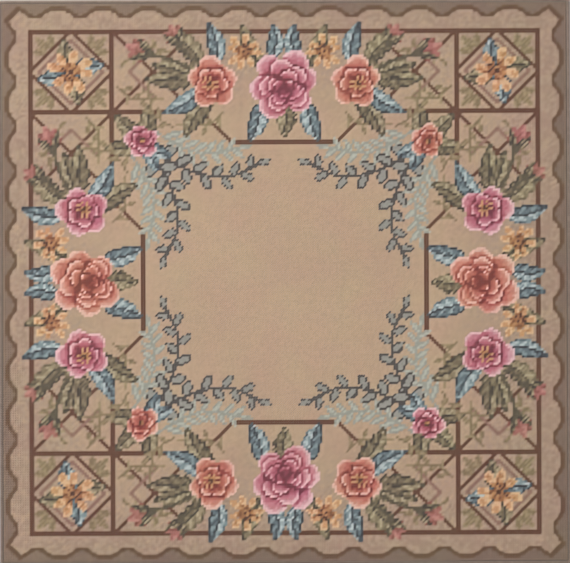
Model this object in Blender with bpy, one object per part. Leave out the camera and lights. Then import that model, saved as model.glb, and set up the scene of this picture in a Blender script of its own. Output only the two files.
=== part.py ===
"""Needlepoint canvas panel lying flat: a square of worked canvas whose four sides are bound by overcast yarn."""

import math

import bmesh
import bpy

# Canvas gauge, from which the worked field gets its size
INCH = 0.0254
THREADS_PER_INCH = 10
STITCHES_A_SIDE = 237
THREAD_PITCH_X = INCH / THREADS_PER_INCH
THREAD_PITCH_Y = 0.989 * THREAD_PITCH_X  # the threads lie a little closer from front to back

# Worked canvas: threads, the tent stitches over them and the yarn that runs behind
FIELD_WIDTH = STITCHES_A_SIDE * THREAD_PITCH_X
FIELD_DEPTH = STITCHES_A_SIDE * THREAD_PITCH_Y
FIELD_THICKNESS = 0.0024
FIELD_EDGE_ROUND = 0.0007

# Overcast edge: yarn wound round the folded canvas edge, one run along each side
EDGE_WIDTH = 0.0032
EDGE_HEIGHT = 0.0029
EDGE_SQUARENESS = 2.6  # 2 is a half ellipse, and more is squarer
EDGE_STEPS = 14
SEAM_GAP = 0.0003  # between pieces that are sewn against each other
MITRE_SETBACK = SEAM_GAP * (1 - math.sqrt(0.5))  # keeps the same gap between two sides at a corner

WOOL_GROUND = (0.50, 0.35, 0.235, 1.0)
WOOL_EDGE = (0.22, 0.165, 0.13, 1.0)


def remove_everything():
    """Empties the scene."""
    for old in list(bpy.data.objects):
        bpy.data.objects.remove(old)


def wool_material(name, colour):
    """A dull, rough yarn finish of one colour."""
    material = bpy.data.materials.new(name)
    material.use_nodes = True
    shader = material.node_tree.nodes["Principled BSDF"]
    shader.inputs["Base Color"].default_value = colour
    shader.inputs["Roughness"].default_value = 0.9
    shader.inputs["Metallic"].default_value = 0.0
    return material


def link_piece(name, shape, material):
    """Makes one named object of a finished bmesh."""
    bmesh.ops.recalc_face_normals(shape, faces=shape.faces)
    mesh = bpy.data.meshes.new(name)
    shape.to_mesh(mesh)
    shape.free()
    mesh.materials.append(material)
    mesh.shade_smooth()
    mesh.set_sharp_from_angle(angle=math.radians(40))
    piece = bpy.data.objects.new(name, mesh)
    bpy.context.scene.collection.objects.link(piece)
    return piece


def worked_canvas(material):
    """The worked field: a thin flat sheet whose upper rim is rounded by its last row of stitches."""
    shape = bmesh.new()
    bmesh.ops.create_cube(shape, size=1.0)
    bmesh.ops.scale(shape, vec=(FIELD_WIDTH, FIELD_DEPTH, FIELD_THICKNESS), verts=shape.verts)
    bmesh.ops.translate(shape, vec=(0, 0, FIELD_THICKNESS / 2), verts=shape.verts)
    middle = FIELD_THICKNESS / 2
    rim = [e for e in shape.edges if all(v.co.z > middle for v in e.verts)]
    bmesh.ops.bevel(shape, geom=rim, offset=FIELD_EDGE_ROUND, segments=3, profile=0.5, affect="EDGES", material=-1)
    return link_piece("canvas", shape, material)


def edge_section():
    """Points of the overcast edge's section as (distance outwards, height), from its inner foot to its outer foot."""
    points = []
    power = 2 / EDGE_SQUARENESS
    for step in range(EDGE_STEPS + 1):
        angle = math.pi * step / EDGE_STEPS
        across = math.copysign(abs(math.cos(angle)) ** power, math.cos(angle))
        up = abs(math.sin(angle)) ** power
        points.append((EDGE_WIDTH * (1 - across) / 2, EDGE_HEIGHT * up if 0 < step < EDGE_STEPS else 0.0))
    return points


def overcast_edge(name, half_run, seat, turn, material):
    """One side's overcasting: the section run along the side, mitred at both corners.

    half_run is half the length of the canvas side. seat is the distance from the panel's centre to that
    side. turn is the angle about +Z that takes the front side to this one.
    """
    shape = bmesh.new()
    start = [
        shape.verts.new((-(half_run + out + MITRE_SETBACK), -(seat + SEAM_GAP + out), up))
        for out, up in edge_section()
    ]
    first = shape.faces.new(start)
    grown = bmesh.ops.extrude_face_region(shape, geom=[first])["geom"]
    for vertex in (v for v in grown if isinstance(v, bmesh.types.BMVert)):
        vertex.co.x = -vertex.co.x
    piece = link_piece(name, shape, material)
    piece.rotation_euler = (0, 0, turn)
    return piece


def build():
    """Makes the panel: the worked canvas first, then the overcasting of its four sides."""
    remove_everything()
    panel = bpy.data.objects.new("needlepoint_panel", None)
    bpy.context.scene.collection.objects.link(panel)
    pieces = [worked_canvas(wool_material("ground_wool", WOOL_GROUND))]
    edge_wool = wool_material("edge_wool", WOOL_EDGE)
    half_width, half_depth = FIELD_WIDTH / 2, FIELD_DEPTH / 2
    sides = (
        ("edge_front", half_width, half_depth),
        ("edge_right", half_depth, half_width),
        ("edge_back", half_width, half_depth),
        ("edge_left", half_depth, half_width),
    )
    for index, (name, half_run, seat) in enumerate(sides):
        pieces.append(overcast_edge(name, half_run, seat, index * math.pi / 2, edge_wool))
    for piece in pieces:
        piece.parent = panel


build()
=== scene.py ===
"""Needlepoint canvas panel: a counted wool design worked in tent stitch, with an overcast edge."""

from __future__ import annotations

import logging
import math
from dataclasses import dataclass, field, replace
from enum import Enum

import bmesh
import bpy
import numpy as np
from mathutils import Matrix, Vector


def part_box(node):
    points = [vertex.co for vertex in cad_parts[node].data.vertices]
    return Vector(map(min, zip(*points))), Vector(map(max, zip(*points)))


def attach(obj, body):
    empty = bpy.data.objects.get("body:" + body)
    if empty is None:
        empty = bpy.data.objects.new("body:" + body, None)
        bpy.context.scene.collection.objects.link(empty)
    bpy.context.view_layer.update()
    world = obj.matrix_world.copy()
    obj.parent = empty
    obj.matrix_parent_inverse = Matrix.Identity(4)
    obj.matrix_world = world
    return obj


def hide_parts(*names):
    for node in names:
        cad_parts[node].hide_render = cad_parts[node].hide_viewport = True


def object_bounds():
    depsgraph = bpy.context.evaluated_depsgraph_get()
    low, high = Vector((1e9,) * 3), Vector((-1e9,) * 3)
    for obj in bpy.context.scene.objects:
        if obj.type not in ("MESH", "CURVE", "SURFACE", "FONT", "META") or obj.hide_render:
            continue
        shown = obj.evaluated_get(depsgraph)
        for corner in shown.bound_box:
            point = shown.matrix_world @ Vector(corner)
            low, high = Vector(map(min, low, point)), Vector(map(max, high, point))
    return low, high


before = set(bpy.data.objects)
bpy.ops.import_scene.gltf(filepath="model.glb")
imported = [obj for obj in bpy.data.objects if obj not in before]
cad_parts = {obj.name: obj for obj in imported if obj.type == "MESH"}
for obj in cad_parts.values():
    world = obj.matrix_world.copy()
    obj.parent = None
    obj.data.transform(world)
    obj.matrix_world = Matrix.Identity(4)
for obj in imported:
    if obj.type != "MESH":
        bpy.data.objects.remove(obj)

LOG = logging.getLogger("needlepoint")

Point = tuple[float, float]
Route = tuple[Point, ...]
Colour = tuple[int, int, int]
Numbers = np.ndarray
Places = tuple[Numbers, Numbers, Numbers]
Socket = bpy.types.NodeSocket
Layout = dict[tuple[int, int], Point]  # where face corners lie on a map, by face and place in the face

CAD_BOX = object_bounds()
BODY = "root"
BAKE_MAP = "OFBake"
QUARTER = math.pi / 2
WHOLE = 2 * math.pi
SEAM_GAP = 0.0003  # between the field and the overcast edge, in metres
LIGHT_FROM = math.radians(120)  # the side from which petals and leaves are shaded as lit
MARGIN = 3  # how many stitches to look at round a shape


class Wool(Enum):
    """Families of tapestry wool: a record slot and the dyed shades, deepest first, out of 255."""

    GROUND = (
        "ground_wool",
        (176, 149, 127), (184, 159, 137), (189, 162, 136), (194, 166, 138), (197, 169, 141),
    )
    BORDER = ("border_wool", (134, 112, 95), (140, 117, 99), (146, 122, 102))
    SCALLOP = ("scallop_wool", (114, 83, 57))
    LINE = ("line_wool", (110, 70, 48), (160, 124, 106))
    CORAL = (
        "coral_wool",
        (134, 58, 46), (158, 76, 62), (180, 98, 80), (198, 120, 101), (211, 144, 123), (222, 168, 149),
        (231, 192, 176),
    )
    PINK = (
        "pink_wool",
        (126, 50, 64), (150, 66, 82), (174, 88, 103), (194, 112, 126), (208, 138, 148), (220, 166, 172),
        (230, 192, 194),
    )
    GOLD = (
        "gold_wool",
        (104, 64, 44), (140, 89, 57), (168, 114, 74), (191, 139, 92), (208, 160, 115), (222, 186, 146),
    )
    TEAL = (
        "teal_wool",
        (62, 66, 72), (85, 94, 100), (110, 126, 131), (139, 156, 158), (167, 181, 182), (191, 201, 200),
    )
    OLIVE = (
        "olive_wool",
        (79, 68, 55), (101, 89, 69), (126, 111, 85), (147, 132, 102), (166, 151, 119), (185, 170, 138),
    )
    SLATE = ("slate_wool", (86, 79, 76), (128, 126, 120), (160, 158, 149))
    MIST = ("slate_wool", (166, 167, 155), (187, 189, 177))
    TWIG = ("olive_wool", (150, 130, 97), (168, 148, 113))
    ROSE = ("coral_wool", (122, 66, 56), (150, 92, 80), (176, 116, 104), (196, 140, 128))

    def __init__(self, slot: str, *shades: Colour) -> None:
        """Keeps the family's slot and shades.

        Args:
            slot: the record's material slot.
            *shades: the dyed shades, deepest first.
        """
        self.slot = slot
        self.shades = shades


WOOLS = list(Wool)


def linear(colour: Colour) -> tuple[float, ...]:
    """Turns a colour out of 255 into the shader's linear numbers.

    Args:
        colour: red, green and blue as a screen shows them.

    Returns:
        The same colour as linear numbers, with an alpha of 1.
    """
    shares = [part / 255 for part in colour]
    bent = [s / 12.92 if s <= 0.04045 else ((s + 0.055) / 1.055) ** 2.4 for s in shares]
    return (*bent, 1.0)


def quarters(turns: int) -> tuple[int, int]:
    """The cosine and the sine of some quarter turns, as whole numbers."""
    return round(math.cos(turns * QUARTER)), round(math.sin(turns * QUARTER))


def along(x: Numbers, y: Numbers, angle: float) -> tuple[Numbers, Numbers]:
    """Turns places so that the first number runs along the angle and the second to its left."""
    cos, sin = math.cos(angle), math.sin(angle)
    return cos * x + sin * y, cos * y - sin * x


def rise(values: Numbers, start: float, over: float) -> Numbers:
    """How far values have risen past a start, as a share of a span, from 0 to 1."""
    return np.clip((values - start) / over, 0, 1)


class Chart:
    """The counted chart: the wool family and the shade in which each tent stitch is worked."""

    GRAIN = 0.045  # how far a stitch's tone strays, so that shades blend unevenly

    def __init__(self, stitches: int) -> None:
        """Starts a square chart that is all ground.

        Args:
            stitches: how many stitches a side has.
        """
        self.stitches = stitches
        place = np.arange(stitches) - (stitches - 1) / 2
        self.u, self.v = (axis.ravel() for axis in np.meshgrid(place, place))
        self.wool = np.zeros(self.u.size, int)
        self.shade = np.zeros(self.u.size, int)
        self.tone = np.zeros(self.u.size)
        self.grain = np.random.default_rng(5).uniform(-1, 1, self.u.size)

    def lay(self, where: Numbers, wool: Wool, tone: float | Numbers) -> None:
        """Charts some stitches in one family.

        Args:
            where: the stitches' numbers.
            wool: the family.
            tone: from 0 for the deepest shade to 1 for the palest, one for all or one each.
        """
        shades = len(wool.shades)
        tone = np.broadcast_to(np.asarray(tone, float), where.shape) + self.GRAIN * self.grain[where]
        self.tone[where] = tone
        self.wool[where] = WOOLS.index(wool)
        self.shade[where] = np.clip(np.floor(tone * shades), 0, shades - 1)

    def deepen(self, where: Numbers, wool: Wool, by: float) -> None:
        """Charts some stitches again in a deeper tone, as the shadow of what lies over them."""
        self.lay(where, wool, self.tone[where] - by)


@dataclass(frozen=True)
class Bed:
    """The chart seen from one of its sides: turned by quarter turns, and mirrored where asked."""

    chart: Chart
    quarter_turns: int = 0
    mirrored: bool = False

    def near(self, centre: Point, reach: float) -> Places:
        """Finds the stitches near a place.

        Args:
            centre: the place, in stitches from the chart's middle.
            reach: how far to look each way, before the margin.

        Returns:
            The stitches' numbers, and how far each lies from the place across and up.
        """
        cos, sin = quarters(self.quarter_turns)
        x = cos * self.chart.u + sin * self.chart.v
        y = cos * self.chart.v - sin * self.chart.u
        if self.mirrored:
            x = -x
        far = np.maximum(abs(x - centre[0]), abs(y - centre[1]))
        found = np.flatnonzero(far < reach + MARGIN)
        return found, x[found] - centre[0], y[found] - centre[1]

    def facing(self, base: Point, reach: float, angle: float) -> Places:
        """Finds the stitches near a place, and how far each lies along an angle and to its left."""
        found, x, y = self.near(base, reach)
        return found, *along(x, y, angle)


def smooth_route(points: Route, steps: int = 14) -> Numbers:
    """Runs a smooth curve through a few points.

    Args:
        points: the points, in order.
        steps: how many places each stretch between two points gets.

    Returns:
        The places along the curve, one row each.
    """
    given = np.array(points, float)
    held = np.vstack([2 * given[0] - given[1], given, 2 * given[-1] - given[-2]])
    t = np.linspace(0, 1, steps, endpoint=False)[:, None]
    parts = []
    for a, b, c, d in zip(held[:-3], held[1:-2], held[2:-1], held[3:]):
        square, cube = 2 * a - 5 * b + 4 * c - d, 3 * b - a - 3 * c + d
        parts.append(0.5 * (2 * b + (c - a) * t + square * t**2 + cube * t**3))
    return np.vstack([*parts, given[-1:]])


@dataclass(frozen=True)
class Stroke:
    """A line of stitches along a route."""

    route: Route
    wool: Wool
    width: float = 2.0
    tone: float = 0.0
    smooth: bool = False

    def work(self, bed: Bed) -> None:
        """Charts the line.

        Args:
            bed: the side of the chart that it lies on.
        """
        route = smooth_route(self.route) if self.smooth else np.array(self.route, float)
        for start, end in zip(route[:-1], route[1:]):
            span = end - start
            reach = math.hypot(*span) / 2 + self.width
            found, a, b = bed.facing((start + end) / 2, reach, math.atan2(span[1], span[0]))
            on = (abs(b) < self.width / 2) & (abs(a) < reach - self.width / 2)
            bed.chart.lay(found[on], self.wool, self.tone)


@dataclass(frozen=True)
class Ring:
    """One ring of equal round petals, its sizes given as shares of the flower's reach."""

    count: int
    reach: float
    radius: float
    first: float  # the way its first petal points, in degrees
    deep: float
    pale: float
    notch: float = 0.0
    shadow: float = 0.2

    CURL = 0.3  # how much paler a petal is at its curled rim
    LIT = 0.16  # and on the side towards the light
    FOLD = 0.4  # how much deeper it is along its sides
    FULL_FOLD = 3.5  # the petal's radius from which that holds, in stitches
    CREASE = 0.16  # how much deeper it is along its middle
    CREASED = 4  # the radius from which it has a crease

    def sized(self, flower: float) -> Ring:
        """The ring in stitches, for a flower of a given reach."""
        return replace(self, reach=flower * self.reach, radius=flower * self.radius)

    def petal(self, a: Numbers, b: Numbers, more: float = 0.0) -> Places:
        """Finds a petal's stitches.

        Args:
            a: how far each stitch lies along the petal, from the flower's centre.
            b: how far it lies to the left of the petal's middle.
            more: how much larger than the petal to look, for its rim.

        Returns:
            Whether each stitch is on the petal, its distance from the petal's middle as a share of the
            way to the rim, and its bearing from there.
        """
        middle = self.reach - self.radius
        bearing = np.arctan2(b, a - middle)
        dent = self.notch * np.exp(-((bearing / 0.4) ** 2))
        rim = self.radius * (1 + 0.05 * np.cos(3 * bearing) - dent) + more
        share = np.hypot(a - middle, b) / rim
        neck = (a > 0) & (a < middle) & (abs(b) <= self.radius * (0.35 + 0.65 * a / max(middle, 0.1)) + more)
        return (share < 1) | neck, share, bearing

    def tone(self, a: Numbers, b: Numbers, share: Numbers, bearing: Numbers) -> Numbers:
        """Shades a petal: deep at its root, its sides and its crease, and pale at its curled rim.

        Args:
            a: how far each stitch lies along the petal.
            b: how far it lies to the left of its middle.
            share: its distance from the petal's middle as a share of the way to the rim.
            bearing: its bearing from there, on the chart.

        Returns:
            The tones.
        """
        t = np.clip(a / self.reach, 0, 1)
        tone = self.deep + (self.pale - self.deep) * rise(t, 0.15, 0.75)
        tone = tone + self.CURL * rise(share, 0.66, 0.25) * (t > 0.45)
        tone = tone + self.LIT * np.minimum(share, 1) * np.cos(bearing - LIGHT_FROM)
        fold = self.FOLD * min(1.0, self.radius / self.FULL_FOLD)
        tone = tone - fold * np.clip(abs(b) / self.radius - 0.4, 0, 0.6) * (t < 0.62)
        creased = (abs(b + 0.1 * a) < 0.6) & (t < 0.6) & (self.radius > self.CREASED)
        return tone - self.CREASE * creased


class Flower(Enum):
    """Kinds of open flower: the rings from the outermost in, the eye, the lean and the stamens."""

    PEONY = (
        (
            Ring(6, 1.0, 0.36, 0, 0.14, 0.72, 0.10),
            Ring(5, 0.72, 0.30, 26, 0.1, 0.7, 0.08),
            Ring(4, 0.48, 0.22, 60, 0.05, 0.64),
            Ring(3, 0.28, 0.15, 20, 0.0, 0.5),
        ),
        0.0, (0.0, -0.16), 0,
    )
    ANEMONE = (
        (Ring(5, 1.0, 0.42, 0, 0.16, 0.74, 0.12), Ring(5, 0.6, 0.27, 36, 0.08, 0.7)),
        0.16, (0.1, -0.06), 9,
    )
    PRIMROSE = ((Ring(8, 1.0, 0.2, 90, 0.42, 0.8, 0.0, 0.28),), 0.19, (0.0, 0.0), 0)

    def __init__(self, rings: tuple[Ring, ...], eye: float, lean: Point, stamens: int) -> None:
        """Keeps the flower's make-up.

        Args:
            rings: its rings of petals.
            eye: the radius of its eye, as a share of its reach.
            lean: how far its innermost parts are set off, as shares of its reach.
            stamens: how many stand round the eye when it is large.
        """
        self.rings, self.eye, self.lean, self.stamens = rings, eye, lean, stamens


@dataclass(frozen=True)
class Bloom:
    """An open flower: rings of overlapping petals round an eye, each ring set off towards one side."""

    kind: Flower
    centre: Point
    wool: Wool
    reach: float
    turn: float

    HEART = 2  # the radius worked first, so that no ground shows between petals
    STRAY = 0.06  # how far petals differ in size
    STRAY_TURN = 6  # and in their turn, in degrees
    LARGE = 10  # the reach from which a flower has stamens

    def work(self, bed: Bed) -> None:
        """Charts the rings from the outermost in, and then the eye.

        Args:
            bed: the side of the chart that it lies on.
        """
        found, x, y = bed.near(self.centre, self.reach)
        lean_x, lean_y = self.kind.lean[0] * self.reach, self.kind.lean[1] * self.reach
        own = np.hypot(x, y) < self.HEART
        bed.chart.lay(found[own], self.wool, 0.0)
        for ring in (ring.sized(self.reach) for ring in self.kind.rings):
            inward = 1 - ring.reach / self.reach
            ring_x, ring_y = x - inward * lean_x, y - inward * lean_y
            for number in range(ring.count):
                stray = math.sin(2.4 * number + ring.first + self.turn)
                first = self.turn + ring.first
                angle = math.radians(first + 360 * number / ring.count + self.STRAY_TURN * stray)
                size = 1 + self.STRAY * stray
                a, b = along(ring_x * size, ring_y * size, angle)
                shape, share, bearing = ring.petal(a, b)
                rim = ring.petal(a, b, 1.0)[0] & own & ~shape
                bed.chart.deepen(found[rim], self.wool, ring.shadow)
                tone = ring.tone(a, b, share, bearing + angle)
                bed.chart.lay(found[shape], self.wool, tone[shape])
                own |= shape
        if self.kind.eye:
            self.work_eye(bed, found, x - lean_x, y - lean_y)

    def work_eye(self, bed: Bed, found: Numbers, x: Numbers, y: Numbers) -> None:
        """Charts the gold eye, and a ring of stamens where the flower has them.

        Args:
            bed: the side of the chart that it lies on.
            found: the numbers of the stitches near the flower.
            x: how far each lies from the eye across.
            y: how far it lies from the eye up.
        """
        r, eye = np.hypot(x, y), self.kind.eye * self.reach
        spot = r < eye
        bed.chart.lay(found[spot], Wool.GOLD, np.where(r < eye * 0.6, 0.05, 0.5)[spot])
        if self.kind.stamens and self.reach > self.LARGE:
            around = np.mod(np.arctan2(y, x) * self.kind.stamens / WHOLE, 1.0) < 0.4
            dots = (abs(r - eye * 1.55) < 0.62) & around
            bed.chart.lay(found[dots], Wool.GOLD, 0.75)


@dataclass(frozen=True)
class Leaf:
    """A pointed leaf along a bent rib, with side veins and a dark edge."""

    base: Point
    heading: float
    length: float
    half_width: float
    bend: float
    wool: Wool
    veins: int = 4
    teeth: float = 0.0

    MIDDLE = 0.58  # the tone between the veins
    LIT = 0.15  # how much paler the half towards the light is
    VEIN = 0.2
    EDGE = 0.3  # how much deeper the edge is
    RIB = 0.17
    TIP = 0.2

    def work(self, bed: Bed) -> None:
        """Charts the leaf.

        Args:
            bed: the side of the chart that it lies on.
        """
        heading = math.radians(self.heading)
        found, a, b = bed.facing(self.base, self.length, heading)
        t = np.clip(a / self.length, 0, 1)
        b = b - self.bend * np.sin(math.pi * t)
        half = self.half_width * np.sin(math.pi * t**0.78) ** 0.85
        half = half * (1 + self.teeth * (np.mod(t * self.veins, 1.0) - 0.5))
        shape = (a > 0) & (a < self.length) & (abs(b) <= half + 0.15)
        s = b / np.maximum(half, 0.3)
        tone = self.MIDDLE + self.LIT * np.sign(b) * math.copysign(1, math.sin(LIGHT_FROM - heading))
        vein = np.mod(t * self.veins - 0.8 * abs(s), 1.0) < 0.34
        tone = tone + self.VEIN * np.where(vein, 1, -0.35)
        tone = np.where(abs(s) > 0.78, tone - self.EDGE, tone)
        tone = np.where((abs(b) < 0.5) & (t < 0.85), self.RIB, tone)
        tone = np.where(t > 0.9, self.TIP, tone)
        bed.chart.lay(found[shape], self.wool, tone[shape])


@dataclass(frozen=True)
class Spray:
    """A stem with small leaves set alternately along it."""

    route: Route
    wool: Wool
    leaves: int
    leaf_length: float
    leaf_half_width: float
    stem_width: float
    outlined: bool = False
    start: float = 0.12
    splay: float = math.radians(52)
    taper: float = 0.3  # how much smaller the last leaf is

    def work(self, bed: Bed) -> None:
        """Charts the stem, and then each leaf.

        Args:
            bed: the side of the chart that it lies on.
        """
        Stroke(self.route, self.wool, self.stem_width, 0.0, True).work(bed)
        route = smooth_route(self.route)
        reached = np.concatenate([[0], np.cumsum(np.linalg.norm(np.diff(route, axis=0), axis=1))])
        for number in range(self.leaves):
            share = self.start + (1 - self.start) * number / (self.leaves - 1)
            behind, place, ahead = (
                [np.interp(share * reached[-1] + step, reached, route[:, axis]) for axis in (0, 1)]
                for step in (-1, 0, 1)
            )
            way = math.atan2(ahead[1] - behind[1], ahead[0] - behind[0])
            if number < self.leaves - 1:
                way += self.splay if number % 2 else -self.splay
            self.leaflet(bed, place, way, 1 - self.taper * share)

    def leaflet(self, bed: Bed, base: Point, angle: float, size: float) -> None:
        """Charts one small leaf.

        Args:
            bed: the side of the chart.
            base: where the leaf leaves the stem.
            angle: the way it points.
            size: its share of the full leaf.
        """
        length, half_width = self.leaf_length * size, self.leaf_half_width * size
        found, a, b = bed.facing(base, length, angle)
        t = np.clip(a / length, 0, 1)
        half = half_width * np.sin(math.pi * t**0.85) ** 0.7
        shape = (a > 0.3) & (a < length) & (abs(b) <= half + 0.25)
        s = abs(b) / np.maximum(half, 0.3)
        if self.outlined:
            tone = np.where((s > 0.62) | (t > 0.86) | (t < 0.18), 0.1, 0.75)
        else:
            tone = np.where(s > 0.5, 0.3, 0.8)
        bed.chart.lay(found[shape], self.wool, tone[shape])


@dataclass(frozen=True)
class Bud:
    """A closed rose-coloured flower in its calyx, on a stem."""

    base: Point
    heading: float
    size: float
    stem: Route

    # each petal's turn, length and half width as shares of the size, and tone at its foot
    PETALS = ((24, 0.9, 0.24, 0.0), (-24, 0.9, 0.24, 0.15), (0, 1.0, 0.22, 0.3))
    CALYX = 34  # how far the calyx's two leaves are turned out
    CUP = 1.7  # the radius of its round foot

    def work(self, bed: Bed) -> None:
        """Charts the stem, three folded petals and the calyx over their foot.

        Args:
            bed: the side of the chart that it lies on.
        """
        Stroke((*self.stem, self.base), Wool.OLIVE, 1.4, 0.3, True).work(bed)
        heading = math.radians(self.heading)
        for turn, share, half_width, deep in self.PETALS:
            found, a, b = bed.facing(self.base, self.size, heading + math.radians(turn))
            t = np.clip(a / (self.size * share), 0, 1)
            half = self.size * half_width * np.sin(math.pi * t**0.9) ** 0.8
            shape = (a > 0) & (a < self.size * share) & (abs(b) <= half + 0.1)
            bed.chart.lay(found[shape], Wool.ROSE, (deep + 0.55 * t + 0.1 * np.sign(b))[shape])
        for turn in (self.CALYX, -self.CALYX):
            Leaf(self.base, self.heading + turn, self.size * 0.78, 1.5, 0.0, Wool.OLIVE, 1).work(bed)
        found, x, y = bed.near(self.base, self.CUP)
        bed.chart.lay(found[np.hypot(x, y) < self.CUP], Wool.OLIVE, 0.25)


@dataclass(frozen=True)
class ScallopedBorder:
    """The brown border, the scallops of its inner edge and the darker outline along them."""

    pitch: float = 19.0
    peak: float = 1.6  # where its line comes nearest to the panel's edge
    depth: float = 3.9
    sharpness: float = 1.35  # 1 is an even wave, and more makes the dips narrower
    corner: float = 8.9
    half_outline: float = 0.95

    def work(self, chart: Chart) -> None:
        """Charts the border and its outline on all four sides, darker towards the lower right as painted shade.

        Args:
            chart: the chart.
        """
        edge = chart.stitches / 2
        out_u, out_v = edge - abs(chart.u), edge - abs(chart.v)
        inside = np.minimum(self.past_line(out_v, chart.u), self.past_line(out_u, chart.v))
        inside = np.minimum(inside, (out_u + out_v - self.corner) / math.sqrt(2))
        # painted light and shade: the border is paler towards the upper left and deeper towards the lower right,
        # as the light falls; the grain adds random strays
        tone = 0.5 + (0.1 * chart.v - 0.2 * chart.u) / edge + 0.2 * chart.grain
        chart.lay(np.flatnonzero(inside < 0), Wool.BORDER, tone[inside < 0])
        chart.lay(np.flatnonzero(abs(inside) < self.half_outline), Wool.SCALLOP, 0.5)

    def past_line(self, out: Numbers, run: Numbers) -> Numbers:
        """Measures how far each stitch lies inside one side's scalloped line.

        Args:
            out: its distance from that side.
            run: its place along that side.

        Returns:
            Its distance from the line, less than 0 on the border.
        """
        turn = WHOLE / self.pitch
        wave = (1 - np.cos(turn * run)) / 2
        line = self.peak + self.depth * wave**self.sharpness
        slope = self.depth * self.sharpness * wave ** (self.sharpness - 1) * turn * np.sin(turn * run) / 2
        return (out - line) / np.hypot(1, slope)


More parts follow.
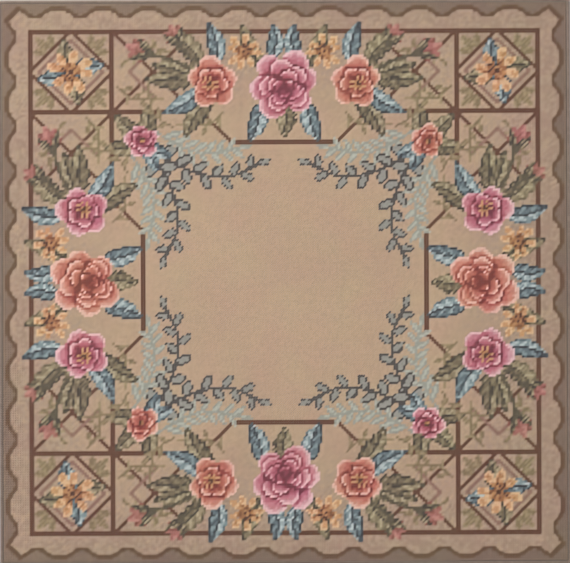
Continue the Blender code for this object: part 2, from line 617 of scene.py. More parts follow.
@dataclass(frozen=True)
class PanelDesign:
    """The whole design: border, frame lines, corner blocks, garlands and the four bouquets.

    Places are in stitches from the panel's middle, with the side that is worked at the top.
    """

    stitches: int = 237
    outer: float = 106.5
    inner: float = 72.5
    bay: float = 59.5  # where the inner line runs at the middle of a side
    step: Point = (22, 35)  # where it starts and ends its way out from there
    crossing: Point = (30, 12.5)  # how far the crossing lines run past the inner line, and how far aside
    chevron: Point = (7.5, 17.5)  # where the pale lines between them start and end
    slanted: float = 1.2  # the width of a slanting line, two rows of stitches where it runs between them
    inset: float = 4  # from a corner block's dark diamond to its pale one
    sprig_out: float = 9.5  # how far its sprigs stand from its middle, each way
    posy: Point = (60, 60)

    @property
    def between(self) -> float:
        """The middle of the corner blocks, as a distance from the panel's middle."""
        return (self.outer + self.inner) / 2

    @property
    def reach(self) -> float:
        """How far a diamond's points lie from its middle."""
        return (self.outer - self.inner) / 2 + 0.5

    def chart(self) -> Chart:
        """Charts the design in the order in which one thing lies over another.

        Returns:
            The finished chart.
        """
        chart = Chart(self.stitches)
        self.work_ground(chart)
        ScallopedBorder().work(chart)
        halves = [Bed(chart, turn, mirrored) for turn in range(4) for mirrored in (False, True)]
        sides = [Bed(chart, turn) for turn in range(4)]
        for beds, work in (
            (halves, self.work_frame),
            (sides, self.work_corner),
            (halves, self.work_garland),
            (sides, self.work_posy),
            (halves, self.work_half_bouquet),
            (sides, self.work_great_flower),
        ):
            for bed in beds:
                great, small = (Wool.CORAL, Wool.PINK) if bed.quarter_turns % 2 else (Wool.PINK, Wool.CORAL)
                work(bed, great, small)
        return chart

    @staticmethod
    def work_ground(chart: Chart) -> None:
        """Charts the ground: palest in the plain middle, and a deeper, cloudier dye towards the sides.

        Args:
            chart: the chart.
        """
        u, v = chart.u, chart.v
        out = rise(np.maximum(abs(u), abs(v)) / (chart.stitches / 2), 0.5, 0.4)
        cloud = np.sin(0.31 * u + 1.7 * np.sin(0.17 * v)) * np.sin(0.27 * v + 1.3 * np.sin(0.21 * u))
        # painted shade: the small term in v and u makes the ground paler towards the top and left and darker
        # towards the right and bottom, as the light falls
        tone = 0.88 - 0.7 * out + 0.1 * (v / 2 - u) / chart.stitches + (0.03 + 0.12 * out) * cloud
        chart.lay(np.arange(u.size), Wool.GROUND, tone + (0.08 + 0.14 * out) * chart.grain)

    def work_frame(self, bed: Bed, *_: Wool) -> None:
        """Charts half of one side's plain frame lines.

        Args:
            bed: the half side that they lie on.
        """
        outer, inner, between = self.outer, self.inner, self.between
        Stroke(((0, outer), (outer, outer)), Wool.LINE).work(bed)
        bay = ((0, self.bay), (self.step[0], self.bay), (self.step[1], inner), (outer, inner))
        Stroke(bay, Wool.LINE).work(bed)
        run, aside = self.crossing
        near, far = self.chevron
        for way in (-1, 1):
            start, middle = (inner, between + way * self.reach), (inner - self.reach, between)
            crossing = (start, middle, (inner - run, between - way * aside))
            Stroke(crossing, Wool.LINE, self.slanted).work(bed)
            chevron = ((inner - near, between), (inner - far, between + (far - near) * way))
            Stroke(chevron, Wool.LINE, self.slanted, 0.9).work(bed)

    def work_corner(self, bed: Bed, *_: Wool) -> None:
        """Charts one corner block: a diamond with a gold flower in it, and a sprig outside each side.

        Args:
            bed: the side whose right end the block is at.
        """
        between = self.between
        for reach, tone in ((self.reach, 0.0), (self.reach - self.inset, 0.9)):
            low, high = between - reach, between + reach
            diamond = ((between, high), (high, between), (between, low), (low, between), (between, high))
            Stroke(diamond, Wool.LINE, self.slanted, tone).work(bed)
        for number in range(4):
            wool = Wool.TEAL if number % 2 else Wool.OLIVE
            Leaf((between, between), 90 * number + 12, 15, 3.6, 0.8, wool, 3).work(bed)
            outward = 90 * number + 45
            foot = [
                between + math.copysign(self.sprig_out, turn(math.radians(outward)))
                for turn in (math.cos, math.sin)
            ]
            for splay, length in ((-58, 6.5), (58, 6.5), (0, 8.0)):
                Leaf(foot, outward + splay, length, 1.7, 0.0, Wool.TWIG, 1).work(bed)
        Bloom(Flower.PRIMROSE, (between, between), Wool.GOLD, 9.6, -10).work(bed)

    @staticmethod
    def work_garland(bed: Bed, *_: Wool) -> None:
        """Charts one pale spray of the garland and the slate one beside it."""
        pale, slate = ((54, 64), (44, 58), (33, 55), (19, 57)), ((57, 59), (47, 51), (35, 46), (23, 45), (11, 50))
        Spray(pale, Wool.MIST, 15, 8.0, 1.25, 1.1).work(bed)
        Spray(slate, Wool.SLATE, 12, 8.4, 2.2, 1.2, True).work(bed)

    def work_posy(self, bed: Bed, _: Wool, small: Wool) -> None:
        """Charts the posy from which two sprays spring, at an inner corner.

        Args:
            bed: the side that it lies on.
            small: the wool of its flower.
        """
        for heading, bend in ((45, 0.0), (100, 1.5), (-10, -1.5)):
            Leaf(self.posy, heading, 16, 3.8, bend, Wool.OLIVE, 4, 0.25).work(bed)
        for heading, bend in ((205, 1.2), (245, -1.2)):
            Leaf(self.posy, heading, 15, 3.5, bend, Wool.TEAL, 4).work(bed)
        Bloom(Flower.ANEMONE, self.posy, small, 7.4, 9).work(bed)

    @staticmethod
    def work_half_bouquet(bed: Bed, _: Wool, small: Wool) -> None:
        """Charts half of a bouquet: twigs, leaves, buds and the smaller flowers.

        Args:
            bed: the half side that it lies on.
            small: the wool of the flower next to the bouquet's great one.
        """
        for route in (
            ((47, 66), (55, 72), (57, 84)),
            ((70, 83), (63, 78), (54, 78)),
            ((48, 98), (58, 100), (66, 94)),
            ((26, 72), (32, 67), (42, 67)),
        ):
            Spray(route, Wool.TWIG, 6, 5.0, 0.8, 1.0).work(bed)
        for leaf in (
            Leaf((34, 90), -8, 25, 4.6, -2.0, Wool.OLIVE, 5, 0.25),
            Leaf((34, 92), 42, 22, 4.4, 2.0, Wool.OLIVE, 5, 0.25),
            Leaf((30, 80), -58, 22, 4.4, 1.5, Wool.OLIVE, 5, 0.25),
            Leaf((34, 82), -30, 20, 4.0, -1.4, Wool.TEAL),
            Leaf((9, 91), 66, 21, 4.0, -1.5, Wool.OLIVE, 5, 0.25),
            Leaf((28, 93), 78, 18, 3.8, 1.5, Wool.TEAL),
            Leaf((10, 76), -74, 17, 3.9, -1.2, Wool.TEAL),
            Leaf((36, 86), 18, 21, 4.0, 1.2, Wool.OLIVE, 5, 0.25),
            Leaf((5, 95), 92, 15, 3.6, 1.4, Wool.TEAL),
        ):
            leaf.work(bed)
        Bud((56, 97), 20, 11, ((36, 88), (46, 94))).work(bed)
        Bud((44, 101), 64, 10, ((32, 90), (39, 96))).work(bed)
        Bloom(Flower.PRIMROSE, (17, 98), Wool.GOLD, 7.6, 10).work(bed)
        Bloom(Flower.ANEMONE, (30, 85), small, 11.2, 15).work(bed)

    @staticmethod
    def work_great_flower(bed: Bed, great: Wool, _: Wool) -> None:
        """Charts the great flower in the middle of a bouquet, and the leaf under it."""
        Leaf((0, 77), -90, 16, 4.4, 0.6, Wool.OLIVE, 5, 0.25).work(bed)
        Bloom(Flower.PEONY, (0, 84), great, 15.2, 8).work(bed)


class Desk:
    """A material's nodes, with short ways to add and join them."""

    def __init__(self, name: str) -> None:
        """Starts a material with its shader and the piece's own coordinates.

        Args:
            name: the material's name.
        """
        self.material = bpy.data.materials.new(name)
        self.material.use_nodes = True
        self.tree = self.material.node_tree
        self.place = self.add("TexCoord", {}).outputs["Object"]

    def add(self, kind: str, sockets: dict[object, object], **settings: object) -> bpy.types.Node:
        """Adds a node.

        Args:
            kind: the node's type, without its leading word.
            sockets: what each input gets, by its name or its place: a value or another node's output.
            **settings: the node's own settings.

        Returns:
            The node.
        """
        node = self.tree.nodes.new("ShaderNode" + kind)
        for name, value in settings.items():
            setattr(node, name, value)
        self.feed(node, sockets)
        return node

    def feed(self, node: bpy.types.Node, sockets: dict[object, object]) -> None:
        """Gives a node's inputs their values or links.

        Args:
            node: the node.
            sockets: what each input gets.
        """
        for name, value in sockets.items():
            if isinstance(value, Socket):
                self.tree.links.new(value, node.inputs[name])
            else:
                node.inputs[name].default_value = value

    def attribute(self, name: str, output: str = "Fac") -> Socket:
        """Adds one of the mesh's own attributes."""
        return self.add("Attribute", {}, attribute_name=name).outputs[output]

    def noise(self, scale: float, detail: float) -> Socket:
        """Adds a soft noise over the piece."""
        return self.add("TexNoise", {"Vector": self.place, "Scale": scale, "Detail": detail}).outputs["Fac"]

    def product(self, first: Socket, second: Socket) -> Socket:
        """Adds the product of two numbers."""
        return self.add("Math", {0: first, 1: second}, operation="MULTIPLY").outputs[0]

    def about(self, middle: float, spread: float, number: Socket) -> Socket:
        """Adds a sum that brings a number from 0 to 1 to within half a spread of a middle."""
        sockets = {0: number, 1: spread, 2: middle - spread / 2}
        return self.add("Math", sockets, operation="MULTIPLY_ADD").outputs[0]

    def twist(self, turn: float, scale: float, distortion: float, detail: float) -> Socket:
        """Adds wavy bands across the piece.

        Args:
            turn: the angle by which they are turned.
            scale: how close together they are.
            distortion: how wavy they are.
            detail: how finely they waver.

        Returns:
            The bands' strength.
        """
        turned = self.add("Mapping", {"Vector": self.place, "Rotation": (0.0, 0.0, turn)}).outputs[0]
        waves = {"Vector": turned, "Scale": scale, "Distortion": distortion, "Detail": detail}
        return self.add("TexWave", waves).outputs["Fac"]

    def bump(self, height: Socket, depth: float, **under: Socket) -> Socket:
        """Adds a bump of some depth in metres, over another bump where one is given as Normal."""
        return self.add("Bump", {"Height": height, "Distance": depth, **under}).outputs[0]

    def dressed(self, colour: Socket, rough: float | Socket, more: dict[str, object]) -> bpy.types.Material:
        """Joins the shader up.

        Args:
            colour: its base colour.
            rough: its roughness.
            more: what its other inputs get.

        Returns:
            The finished material.
        """
        sockets = {"Base Color": colour, "Roughness": rough, "Specular IOR Level": 0.2, **more}
        self.feed(self.tree.nodes["Principled BSDF"], sockets)
        return self.material


@dataclass(frozen=True)
class WoolFinish:
    """Tapestry wool: soft, matt, faintly uneven in its dye, with twisted plies and fine fibres."""

    ply_scale: float = 330.0  # bands in the twist, so that plies are about 1 mm apart
    ply_turn: float = math.radians(20)
    ply_depth: float = 0.00012
    fibre_scale: float = 2600.0
    fibre_depth: float = 0.00008
    fibre_spread: float = 0.24
    dye_scale: float = 9.0
    dye_spread: float = 0.14
    hue_spread: float = 0.044
    strand_spread: float = 0.10
    roughness: float = 0.9
    rough_spread: float = 0.14
    sheen: float = 0.25

    def material(self, name: str, shades: tuple[Colour, ...]) -> bpy.types.Material:
        """Makes the wool of one family.

        Args:
            name: the material's name.
            shades: the family's shades, which the stitches' attribute chooses from.

        Returns:
            The material.
        """
        desk = Desk(name)
        fibre = desk.noise(self.fibre_scale, 2.0)
        bright = desk.about(1, self.strand_spread, desk.attribute("strand"))
        worn = desk.about(1, self.dye_spread, desk.noise(self.dye_scale, 3.0))
        level = desk.product(desk.product(bright, worn), desk.about(1, self.fibre_spread, fibre))
        hue = desk.about(0.5, self.hue_spread, desk.noise(self.dye_scale * 2.4, 2.0))
        dyed = self.dyed(desk, desk.attribute("shade"), shades)
        finished = desk.add("HueSaturation", {"Hue": hue, "Value": level, "Color": dyed}).outputs[0]
        plies = desk.bump(desk.twist(self.ply_turn, self.ply_scale, 2.0, 1.0), self.ply_depth)
        relief = desk.bump(fibre, self.fibre_depth, Normal=plies)
        rough = desk.about(self.roughness, self.rough_spread, fibre)
        more = {"Normal": relief, "Sheen Weight": self.sheen, "Sheen Roughness": 0.5}
        return desk.dressed(finished, rough, more)

    @staticmethod
    def dyed(desk: Desk, shade: Socket, shades: tuple[Colour, ...]) -> Socket:
        """Adds a stepped ramp that turns the shade attribute into the family's colours.

        Args:
            desk: the material's nodes.
            shade: the attribute, from 0 to 1.
            shades: the family's shades.

        Returns:
            The colour.
        """
        ramp = desk.add("ValToRGB", {"Fac": shade})
        ramp.color_ramp.interpolation = "CONSTANT"
        stops = ramp.color_ramp.elements
        while len(stops) > 1:
            stops.remove(stops[-1])
        stops[0].position = 0.0
        stops[0].color = linear(shades[0])
        for number, colour in enumerate(shades[1:], start=1):
            stops.new(number / len(shades)).color = linear(colour)
        return ramp.outputs["Color"]


@dataclass(frozen=True)
class BackFinish:
    """The back of the work: the same wools in long slanting runs, a little dulled by fuzz."""

    run_scale: float = 124.0
    run_turn: float = math.radians(27)
    run_depth: float = 0.0005
    fuzz_scale: float = 700.0
    fuzz_spread: float = 0.5
    dulled: float = 0.97
    faded: float = 0.9

    def material(self) -> bpy.types.Material:
        """Makes the finish from each face's worked colour: the back's wool, or a painted shadow on the hidden
        top.

        Returns:
            The material.
        """
        desk = Desk("back_of_work")
        level = desk.about(self.dulled, self.fuzz_spread, desk.noise(self.fuzz_scale, 4.0))
        colour = {"Saturation": self.faded, "Value": level, "Color": desk.attribute("worked", "Color")}
        relief = desk.bump(desk.twist(self.run_turn, self.run_scale, 1.2, 2.0), self.run_depth)
        more = {"Normal": relief, "Sheen Weight": 0.3}
        return desk.dressed(desk.add("HueSaturation", colour).outputs[0], 0.95, more)


@dataclass(frozen=True)
class FloorFinish:
    """Plain pale studio floor with the faintest unevenness."""

    colour: Colour = (170, 161, 155)
    cloud_scale: float = 3.0
    cloud_spread: float = 0.04

    def material(self) -> bpy.types.Material:
        """Makes the floor's finish.

        Returns:
            The material.
        """
        desk = Desk("studio_floor")
        level = desk.about(1, self.cloud_spread, desk.noise(self.cloud_scale, 2.0))
        tint = desk.add("HueSaturation", {"Value": level, "Color": linear(self.colour)})
        return desk.dressed(tint.outputs[0], 0.8, {})


def stand(name: str, mesh: bpy.types.Mesh) -> bpy.types.Object:
    """Makes a mesh an object of the scene.

    Args:
        name: the object's name.
        mesh: the mesh, with its place in it.

    Returns:
        The object, at the origin.
    """
    piece = bpy.data.objects.new(name, mesh)
    bpy.context.scene.collection.objects.link(piece)
    return piece


def settled(name: str, shape: bmesh.types.BMesh) -> bpy.types.Mesh:
    """Makes a finished bmesh a mesh, and frees it.

    Args:
        name: the mesh's name.
        shape: the bmesh.

    Returns:
        The mesh.
    """
    mesh = bpy.data.meshes.new(name)
    shape.to_mesh(mesh)
    shape.free()
    return mesh


def fill(parts: object, measure: str, numbers: Numbers, kind: type = np.float32) -> None:
    """Gives a mesh's parts one measure from an array."""
    parts.foreach_set(measure, numbers.astype(kind).ravel())


def read(parts: object, measure: str, row: tuple[int, ...] = (), kind: type = float) -> Numbers:
    """Reads one measure of a mesh's parts.

    Args:
        parts: its vertices, loops or faces.
        measure: the measure's name.
        row: the shape of each part's numbers, where it has several.
        kind: the type of the numbers.

    Returns:
        The numbers of all parts.
    """
    numbers = np.empty((len(parts), *row), kind)
    parts.foreach_get(measure, numbers.ravel())
    return numbers


def lay_map(mesh: bpy.types.Mesh, laid: Numbers) -> None:
    """Gives a mesh its bake map."""
    fill(mesh.uv_layers.new(name=BAKE_MAP).uv, "vector", laid)


def turned_forms(turns: Numbers, long: Numbers, wide: Numbers, high: Numbers) -> Numbers:
    """Makes the matrices that stretch copies and turn them about the upright.

    Args:
        turns: the angle of each copy.
        long: its stretch along its length.
        wide: its stretch across.
        high: its stretch upwards.

    Returns:
        One matrix for each copy.
    """
    forms = np.zeros((len(turns), 3, 3))
    forms[:, 0, 0] = forms[:, 1, 1] = np.cos(turns) * long
    forms[:, 0, 1] = -np.sin(turns) * wide
    forms[:, 1, 0] = np.sin(turns) * wide
    forms[:, 2, 2] = high
    return forms


@dataclass(frozen=True)
class SmallShape:
    """One small closed shape held as arrays, of which many copies are joined into one mesh."""

    points: Numbers
    corners: Numbers
    starts: Numbers
    laid: Numbers  # where each face corner lies on the shape's own square of the bake map

    INSET = 0.06  # the gap round each copy on the map, as a share of its square

    def joined(
        self, name: str, forms: Numbers, places: Numbers, marks: dict[str, Numbers]
    ) -> bpy.types.Object:
        """Joins one copy for each place.

        Args:
            name: the new piece's name.
            forms: the matrix that turns and stretches each copy.
            places: where each copy goes, in metres.
            marks: attributes with one number for each copy.

        Returns:
            The piece, at the origin, with its place in its mesh.
        """
        copies, size = len(places), len(self.points)
        every = np.arange(copies)[:, None]
        mesh = bpy.data.meshes.new(name)
        mesh.vertices.add(copies * size)
        mesh.loops.add(copies * len(self.corners))
        mesh.polygons.add(copies * len(self.starts))
        points = np.einsum("mij,pj->mpi", forms, self.points) + places[:, None]
        fill(mesh.vertices, "co", points)
        fill(mesh.loops, "vertex_index", self.corners + size * every, np.int32)
        fill(mesh.polygons, "loop_start", self.starts + len(self.corners) * every, np.int32)
        mesh.update(calc_edges=True)
        mesh.shade_smooth()
        rows = math.ceil(math.sqrt(copies))
        square = np.stack([every % rows, every // rows], 2)
        lay_map(mesh, (square + self.INSET + (1 - 2 * self.INSET) * self.laid) / rows)
        for mark, numbers in marks.items():
            fill(mesh.attributes.new(mark, "FLOAT", "POINT").data, "value", np.repeat(numbers, size))
        return stand(name, mesh)

    @classmethod
    def taken(cls, shape: bmesh.types.BMesh, laid: Layout) -> SmallShape:
        """Takes a finished bmesh, and frees it.

        Args:
            shape: the closed shape.
            laid: where each face corner lies on the map.

        Returns:
            The shape as arrays.
        """
        points = np.array([vertex.co[:] for vertex in shape.verts])
        corners, starts, places = [], [], []
        for face in shape.faces:
            starts.append(len(corners))
            for turn, vertex in enumerate(face.verts):
                corners.append(vertex.index)
                places.append(laid[face.index, turn])
        shape.free()
        return cls(points, np.array(corners), np.array(starts), np.array(places))


def nearest_turn(angle: float, middle: float) -> float:
    """Brings an angle to within half a turn of another."""
    return middle + (angle - middle + math.pi) % WHOLE - math.pi


@dataclass(frozen=True)
class TentStitch:
    """One tent stitch: a plump strand that slants up to the right over a crossing of the canvas."""

    length: float
    slant: float
    width: float
    rise: float
    heart: float  # the height of the strand's middle line
    dip: float  # how far its ends go down into the holes
    sides: int = 3
    plump: float = 0.68  # the share of its length over which it keeps its full width

    TIP = 0.9  # the share of the length past which a point is one of the two tips
    SHARES = (0.0, 0.42, 0.84, 1.0)  # how the sides share the map, the underside in least room

    def shape(self) -> SmallShape:
        """Models the strand, laid out on the map as it unrolls.

        Returns:
            The closed strand.
        """
        shape = bmesh.new()
        bmesh.ops.create_uvsphere(shape, u_segments=self.sides, v_segments=3, radius=1.0)
        bmesh.ops.rotate(shape, matrix=Matrix.Rotation(QUARTER, 3, "Y"), verts=shape.verts)
        girth = [vertex for vertex in shape.verts if abs(vertex.co.x) < self.TIP]
        ends = [vertex for vertex in shape.verts if vertex not in girth]
        bearings = [math.atan2(vertex.co.z, vertex.co.y) for vertex in girth]
        top = min(bearings, key=lambda angle: abs(angle - QUARTER))
        bmesh.ops.rotate(shape, matrix=Matrix.Rotation(QUARTER - top, 3, "X"), verts=shape.verts)
        shape.verts.index_update()
        shape.faces.index_update()
        laid = self.unrolled(shape)
        half_girth = max(abs(vertex.co.y) for vertex in girth)
        crest = max(vertex.co.z for vertex in girth)
        bmesh.ops.scale(shape, vec=(self.plump / abs(girth[0].co.x), 1, 1), verts=girth)
        stretch = (self.length / 2, self.width / 2 / half_girth, self.rise / crest)
        bmesh.ops.scale(shape, vec=stretch, verts=shape.verts)
        bmesh.ops.translate(shape, vec=(0, 0, -self.dip), verts=ends)
        bmesh.ops.rotate(shape, matrix=Matrix.Rotation(self.slant, 3, "Z"), verts=shape.verts)
        bmesh.ops.translate(shape, vec=(0, 0, self.heart), verts=shape.verts)
        bmesh.ops.recalc_face_normals(shape, faces=shape.faces)
        return SmallShape.taken(shape, laid)

    def unrolled(self, shape: bmesh.types.BMesh) -> Layout:
        """Lays the strand out, its length across the map and its girth up it.

        Args:
            shape: the strand, still round and of unit size.

        Returns:
            Where each face corner lies.
        """
        laid = {}
        for face in shape.faces:
            middle = face.calc_center_median()
            about = (math.atan2(middle.z, middle.y) - QUARTER) % WHOLE
            low = (0, 2, 1)[int(about / (WHOLE / self.sides))]
            start, end = self.SHARES[low : low + 2]
            for turn, vertex in enumerate(face.verts):
                if abs(vertex.co.x) > self.TIP:
                    share = 0.5
                else:
                    angle = nearest_turn(math.atan2(vertex.co.z, vertex.co.y), about + QUARTER)
                    share = 1.0 if angle > about + QUARTER else 0.0
                laid[face.index, turn] = ((vertex.co.x + 1) / 2, start + (end - start) * share)
        return laid


@dataclass(frozen=True)
class StitchedField:
    """The worked face of the panel: every tent stitch, one piece for each family of wool."""

    chart: Chart
    low: Numbers
    high: Numbers
    finish: WoolFinish = field(default_factory=WoolFinish)
    heart: float = 0.00150
    fill: float = 0.00212  # the strand's width, more than its spacing, so that it covers
    rise: float = 0.00086
    dip: float = 0.00045
    overlap: float = 1.10
    strays: tuple[float, float, float] = (0.05, 0.07, 0.10)  # in length, width and height
    stray_turn: float = math.radians(3.5)
    stray_place: float = 0.00007

    DRAWS = 8  # random numbers for each stitch, the last of them spare
    STRIPS = ("left", "middle_left", "middle_right", "right")

    @property
    def pitch(self) -> Point:
        """The spacing of the stitches across and up, in metres."""
        size = (self.high - self.low) / self.chart.stitches
        return float(size[0]), float(size[1])

    def build(self) -> list[bpy.types.Object]:
        """Works every family, the ground in four strips.

        Returns:
            The pieces.
        """
        across, up = self.pitch
        length = math.hypot(across, up) * self.overlap
        stitch = TentStitch(length, math.atan2(up, across), self.fill, self.rise, self.heart, self.dip)
        shape = stitch.shape()
        pieces = []
        for number, wool in enumerate(WOOLS):
            material = self.finish.material(wool.name.lower() + "_yarn", wool.shades)
            for name, part in self.parts(wool, np.flatnonzero(self.chart.wool == number)):
                piece = self.work(shape, name, part, len(wool.shades))
                piece.data.materials.append(material)
                pieces.append(piece)
                LOG.info("%s: %d stitches", name, len(part))
        return pieces

    def parts(self, wool: Wool, found: Numbers) -> list[tuple[str, Numbers]]:
        """Parts the ground into strips from left to right, and leaves any other family whole.

        Args:
            wool: the family.
            found: the numbers of its stitches.

        Returns:
            The name of each piece and the numbers of its stitches.
        """
        name = wool.name.lower() + "_stitches"
        if wool is not Wool.GROUND:
            return [(name, found)]
        column = (self.chart.u[found] / self.chart.stitches + 0.5) * len(self.STRIPS)
        return [(f"{name}_{strip}", found[column.astype(int) == k]) for k, strip in enumerate(self.STRIPS)]

    def work(self, shape: SmallShape, name: str, found: Numbers, shades: int) -> bpy.types.Object:
        """Works some stitches as one piece.

        Args:
            shape: the shape of one stitch.
            name: the piece's name.
            found: the numbers of its stitches on the chart.
            shades: how many shades its family has.

        Returns:
            The piece.
        """
        every = np.random.default_rng(11).uniform(-1, 1, (self.chart.u.size, self.DRAWS))[found]
        across, up = self.pitch
        centre = (self.low + self.high) / 2
        x = centre[0] + self.chart.u[found] * across + self.stray_place * every[:, 0]
        y = centre[1] + self.chart.v[found] * up + self.stray_place * every[:, 1]
        long, wide, high = (1 + stray * every[:, k] for stray, k in zip(self.strays, (5, 3, 4)))
        forms = turned_forms(self.stray_turn * every[:, 2], long, wide, high)
        marks = {"shade": (self.chart.shade[found] + 0.5) / shades, "strand": (every[:, 6] + 1) / 2}
        return shape.joined(name, forms, np.stack([x, y, np.zeros(found.size)], 1), marks)


@dataclass(frozen=True)
class CanvasSheet:
    """The canvas behind the stitches: a thin flat sheet whose underside shows the back of the work."""

    chart: Chart
    low: Numbers
    high: Numbers
    thickness: float = 0.0009
    # painted shadow: a dark brown laid on the sheet's hidden top, so that the gaps between stitches read as
    # shaded holes
    hole_painted_shadow: Colour = (84, 68, 56)  # the shadow that shows between stitches

    MAP_PARTS = (0.96, 0.97)  # where the underside ends and the rest starts across the bake map

    def build(self) -> bpy.types.Object:
        """Makes the sheet: a gridded underside, a rim and a plain top.

        Returns:
            The sheet.
        """
        shape = bmesh.new()
        size, centre = self.high - self.low, (self.low + self.high) / 2
        cells = self.chart.stitches
        bmesh.ops.create_grid(shape, x_segments=cells, y_segments=cells, size=0.5)
        bmesh.ops.scale(shape, vec=(size[0], size[1], 1), verts=shape.verts)
        bmesh.ops.translate(shape, vec=(centre[0], centre[1], self.low[2]), verts=shape.verts)
        bmesh.ops.reverse_faces(shape, faces=shape.faces)
        rim = [edge for edge in shape.edges if edge.is_boundary]
        raised = bmesh.ops.extrude_edge_only(shape, edges=rim)["geom"]
        upper = [part for part in raised if isinstance(part, bmesh.types.BMVert)]
        bmesh.ops.translate(shape, vec=(0, 0, self.thickness), verts=upper)
        loop = [part for part in raised if isinstance(part, bmesh.types.BMEdge) and part.is_boundary]
        bmesh.ops.edgeloop_fill(shape, edges=loop)
        bmesh.ops.recalc_face_normals(shape, faces=shape.faces)
        mesh = settled("canvas_sheet", shape)
        self.mark(mesh)
        self.lay_out(mesh)
        mesh.materials.append(BackFinish().material())
        piece = stand("canvas_sheet", mesh)
        LOG.info("canvas_sheet: %d faces", len(mesh.polygons))
        return piece

    def share(self, places: Numbers) -> Numbers:
        """How far places lie across, up and through the field, from 0 to 1."""
        return (places - self.low) / (self.high - self.low)

    def mark(self, mesh: bpy.types.Mesh) -> None:
        """Marks each face of the underside with the colour worked over it, and the rest with a painted shadow
        colour.

        Args:
            mesh: the sheet.
        """
        share = self.share(read(mesh.polygons, "center", (3,)))
        side = self.chart.stitches
        column, row = np.clip((share[:, :2] * side).astype(int), 0, side - 1).T
        stitch = row * side + column
        dyes = np.ones((len(WOOLS), max(len(wool.shades) for wool in WOOLS), 4))
        for number, wool in enumerate(WOOLS):
            dyes[number, : len(wool.shades)] = [linear(shade) for shade in wool.shades]
        colours = dyes[self.chart.wool[stitch], self.chart.shade[stitch]]
        # the hidden top gets the painted shadow colour
        colours[share[:, 2] > 0] = linear(self.hole_painted_shadow)
        fill(mesh.attributes.new("worked", "FLOAT_COLOR", "FACE").data, "color", colours)

    def lay_out(self, mesh: bpy.types.Mesh) -> None:
        """Lays the underside over nearly the whole bake map, and the rest in a strip beside it.

        Args:
            mesh: the sheet.
        """
        corner = read(mesh.loops, "vertex_index", (), np.int32)
        places = read(mesh.vertices, "co", (3,))[corner]
        first, count = (read(mesh.polygons, what, (), np.int32) for what in ("loop_start", "loop_total"))
        height = np.maximum.reduceat(places[:, 2], first)
        hidden = np.repeat(height > self.low[2] + 1e-6, count)
        across, up, _ = self.share(places).T
        end, start = self.MAP_PARTS
        lay_map(mesh, np.stack([np.where(hidden, start + (1 - start) * across, end * across), up], 1))


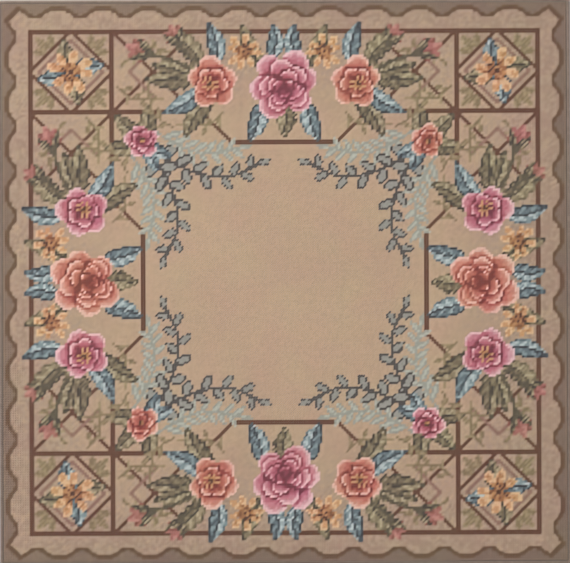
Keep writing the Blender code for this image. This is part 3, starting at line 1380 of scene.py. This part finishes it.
@dataclass(frozen=True)
class OvercastEdge:
    """Yarn wound over the folded canvas edge all round the panel, one turn at each thread."""

    low: Numbers
    high: Numbers
    pitch: Point
    nodes: tuple[str, ...] = ("edge_front", "edge_right", "edge_back", "edge_left")
    strand: float = 0.00046  # half the yarn's thickness
    spread: float = 0.00142  # half its width along the edge, more than half the pitch, so that it covers
    slant: float = 0.34
    section_sides: int = 6
    turn_steps: int = 10
    corner_turns: int = 3
    # painted light and shade: the edge's paler shades go towards the far, upper edge and its deeper ones towards
    # the near edge, as the light falls
    shades: tuple[Colour, ...] = ((115, 100, 90), (120, 105, 94), (128, 112, 101))
    stray_turn: float = 0.06
    stray_height: float = 0.012

    def turn_shape(self, width: float, height: float) -> SmallShape:
        """Models one turn of yarn round an edge that runs along X.

        Args:
            width: the whole width of the wound edge.
            height: its whole height.

        Returns:
            The closed turn.
        """
        shape = bmesh.new()
        reach = height / 2 - self.strand
        section = bmesh.ops.create_circle(shape, segments=self.section_sides, radius=1.0)["verts"]
        bmesh.ops.rotate(shape, matrix=Matrix.Rotation(QUARTER, 3, "X"), verts=section)
        bmesh.ops.scale(shape, vec=(self.spread, 1, self.strand), verts=section)
        bmesh.ops.translate(shape, vec=(0, 0, reach), verts=section)
        bmesh.ops.spin(
            shape,
            geom=[*section, *shape.edges],
            cent=(0, 0, 0),
            axis=(1, 0, 0),
            angle=WHOLE,
            steps=self.turn_steps,
            use_merge=True,
        )
        bmesh.ops.recalc_face_normals(shape, faces=shape.faces)
        shape.verts.index_update()
        shape.faces.index_update()
        laid = self.unrolled(shape, reach)
        bmesh.ops.scale(shape, vec=(1, width / height, 1), verts=shape.verts)
        for vertex in shape.verts:
            vertex.co.x += self.slant * vertex.co.y
        bmesh.ops.translate(shape, vec=(0, 0, height / 2), verts=shape.verts)
        return SmallShape.taken(shape, laid)

    def angles(self, place: Vector, reach: float) -> Point:
        """The angles of a place on the round turn, first round the edge and then round the yarn."""
        out = math.hypot(place.y, place.z) - reach
        return math.atan2(place.z, place.y), math.atan2(out / self.strand, place.x / self.spread)

    def unrolled(self, shape: bmesh.types.BMesh, reach: float) -> Layout:
        """Lays the turn out: the way round the edge across the map, the way round the yarn up it.

        Args:
            shape: the turn, still round.
            reach: the radius of its middle line.

        Returns:
            Where each face corner lies.
        """
        laid = {}
        for face in shape.faces:
            middle = [angle % WHOLE for angle in self.angles(face.calc_center_median(), reach)]
            for turn, vertex in enumerate(face.verts):
                found = zip(self.angles(vertex.co, reach), middle)
                laid[face.index, turn] = np.array([nearest_turn(*pair) / WHOLE for pair in found])
        low, span = np.min(list(laid.values()), axis=0), np.ptp(list(laid.values()), axis=0)
        return {corner: tuple((place - low) / span) for corner, place in laid.items()}

    def wound(self, middle: float) -> tuple[Numbers, Numbers]:
        """Places the turns of yarn, one at each thread and a few round each corner.

        Args:
            middle: how far outside the field the middle of the edge runs.

        Returns:
            The turns' places, and the angles that they are turned by.
        """
        centre, half = (self.low + self.high) / 2, (self.high - self.low) / 2
        places, turns = [], []
        for side in range(4):
            run, seat, pitch = half[side % 2], half[1 - side % 2], self.pitch[side % 2]
            row = [(-run + (k + 0.5) * pitch, -(seat + middle), 0.0) for k in range(round(2 * run / pitch))]
            for k in range(self.corner_turns):
                angle = (k + 0.5) / self.corner_turns * QUARTER
                row.append((run + middle * math.sin(angle), -(seat + middle * math.cos(angle)), angle))
            cos, sin = quarters(side)
            for x, y, angle in row:
                places.append((centre[0] + cos * x - sin * y, centre[1] + sin * x + cos * y, 0.0))
                turns.append(side * QUARTER + angle)
        return np.array(places), np.array(turns)

    def build(self) -> bpy.types.Object:
        """Winds the yarn round all four sides and their corners as one piece.

        Returns:
            The edge.
        """
        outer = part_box(self.nodes[0])
        width, height = self.low[1] - SEAM_GAP - outer[0][1], outer[1][2] - outer[0][2]
        places, turns = self.wound(SEAM_GAP + width / 2)
        chance = np.random.default_rng(23).uniform(-1, 1, (len(places), 4))
        high = 1 + self.stray_height * (chance[:, 1] - 1)
        forms = turned_forms(turns + self.stray_turn * chance[:, 0], 1.0, 1.0, high)
        # painted shade: the edge yarn's shade rises towards the far edge, on the side of the key light, with
        # random strays
        far = places[:, 1] / (self.high[1] - self.low[1])
        marks = {"shade": 0.5 + 0.55 * far + 0.2 * chance[:, 2], "strand": (chance[:, 3] + 1) / 2}
        piece = self.turn_shape(width, height).joined("overcast_edge", forms, places, marks)
        piece.data.materials.append(WoolFinish().material("edge_yarn", self.shades))
        LOG.info("overcast_edge: %d turns of yarn", len(places))
        return piece


@dataclass(frozen=True)
class Studio:
    """The pale floor, the soft light and the camera straight above the panel."""

    picture: tuple[int, int] = (570, 563)
    panel_across: Point = (-0.8, 570.4)  # the panel's left and right edge in the picture
    panel_middle_down: float = 282.1  # the height in the picture of the panel's middle
    roll: float = math.radians(-0.22)
    distance: float = 3.0
    sensor: float = 36.0
    sky: tuple[float, ...] = (1.0, 0.985, 0.96, 1.0)
    sky_strength: float = 0.67

    def build(self) -> None:
        """Makes the floor, the lights and the camera."""
        self.floor()
        self.lights()
        self.camera()

    def floor(self) -> None:
        """Lays the floor under the panel."""
        shape = bmesh.new()
        bmesh.ops.create_grid(shape, x_segments=8, y_segments=8, size=6.0)
        mesh = settled("studio_floor", shape)
        mesh.materials.append(FloorFinish().material())
        stand("studio_floor", mesh)

    def lights(self) -> None:
        """Hangs one large soft light towards the far edge and a weaker one opposite, under an even sky."""
        for name, place, size, power in (
            ("key_light", (-1.0, 0.9, 1.6), 1.3, 39.5),
            ("fill_light", (0.9, -0.8, 2.2), 1.8, 13.0),
        ):
            lamp = bpy.data.lights.new(name, "AREA")
            lamp.size = size
            lamp.energy = power
            light = stand(name, lamp)
            light.location = place
            light.rotation_euler = Vector(place).to_track_quat("Z", "Y").to_euler()
            light.visible_camera = False
        world = bpy.data.worlds.new("studio_sky")
        world.use_nodes = True
        background = world.node_tree.nodes["Background"]
        background.inputs["Color"].default_value = self.sky
        background.inputs["Strength"].default_value = self.sky_strength
        bpy.context.scene.world = world
        bpy.context.scene.view_settings.view_transform = "Standard"

    def camera(self) -> None:
        """Points a long lens straight down, framed so that the panel fills the picture as in the photo."""
        low, high = CAD_BOX
        scale = (self.panel_across[1] - self.panel_across[0]) / (high[0] - low[0])
        lens = bpy.data.cameras.new("camera")
        lens.sensor_width = self.sensor
        lens.lens = self.sensor * self.distance / (self.picture[0] / scale)
        camera = stand("camera", lens)
        shift_x = (self.picture[0] / 2 - sum(self.panel_across) / 2) / scale
        shift_y = (self.panel_middle_down - self.picture[1] / 2) / scale
        middle_x, middle_y = (low[0] + high[0]) / 2, (low[1] + high[1]) / 2
        camera.location = (middle_x + shift_x, middle_y + shift_y, high[2] + self.distance)
        camera.rotation_euler = (0.0, 0.0, self.roll)
        bpy.context.scene.camera = camera


def main() -> None:
    """Builds the panel piece by piece."""
    logging.basicConfig(level=logging.INFO, format="%(message)s")
    low, high = (np.array(corner[:]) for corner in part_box("canvas"))
    chart = PanelDesign().chart()
    worked = StitchedField(chart, low, high)
    stitches = worked.build()
    sheet = CanvasSheet(chart, low, high).build()
    edge = OvercastEdge(low, high, worked.pitch).build()
    for piece in (*stitches, sheet, edge):
        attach(piece, BODY)
    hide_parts("canvas")
    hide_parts(*OvercastEdge.nodes)
    Studio().build()


if __name__ == "__main__":
    main()
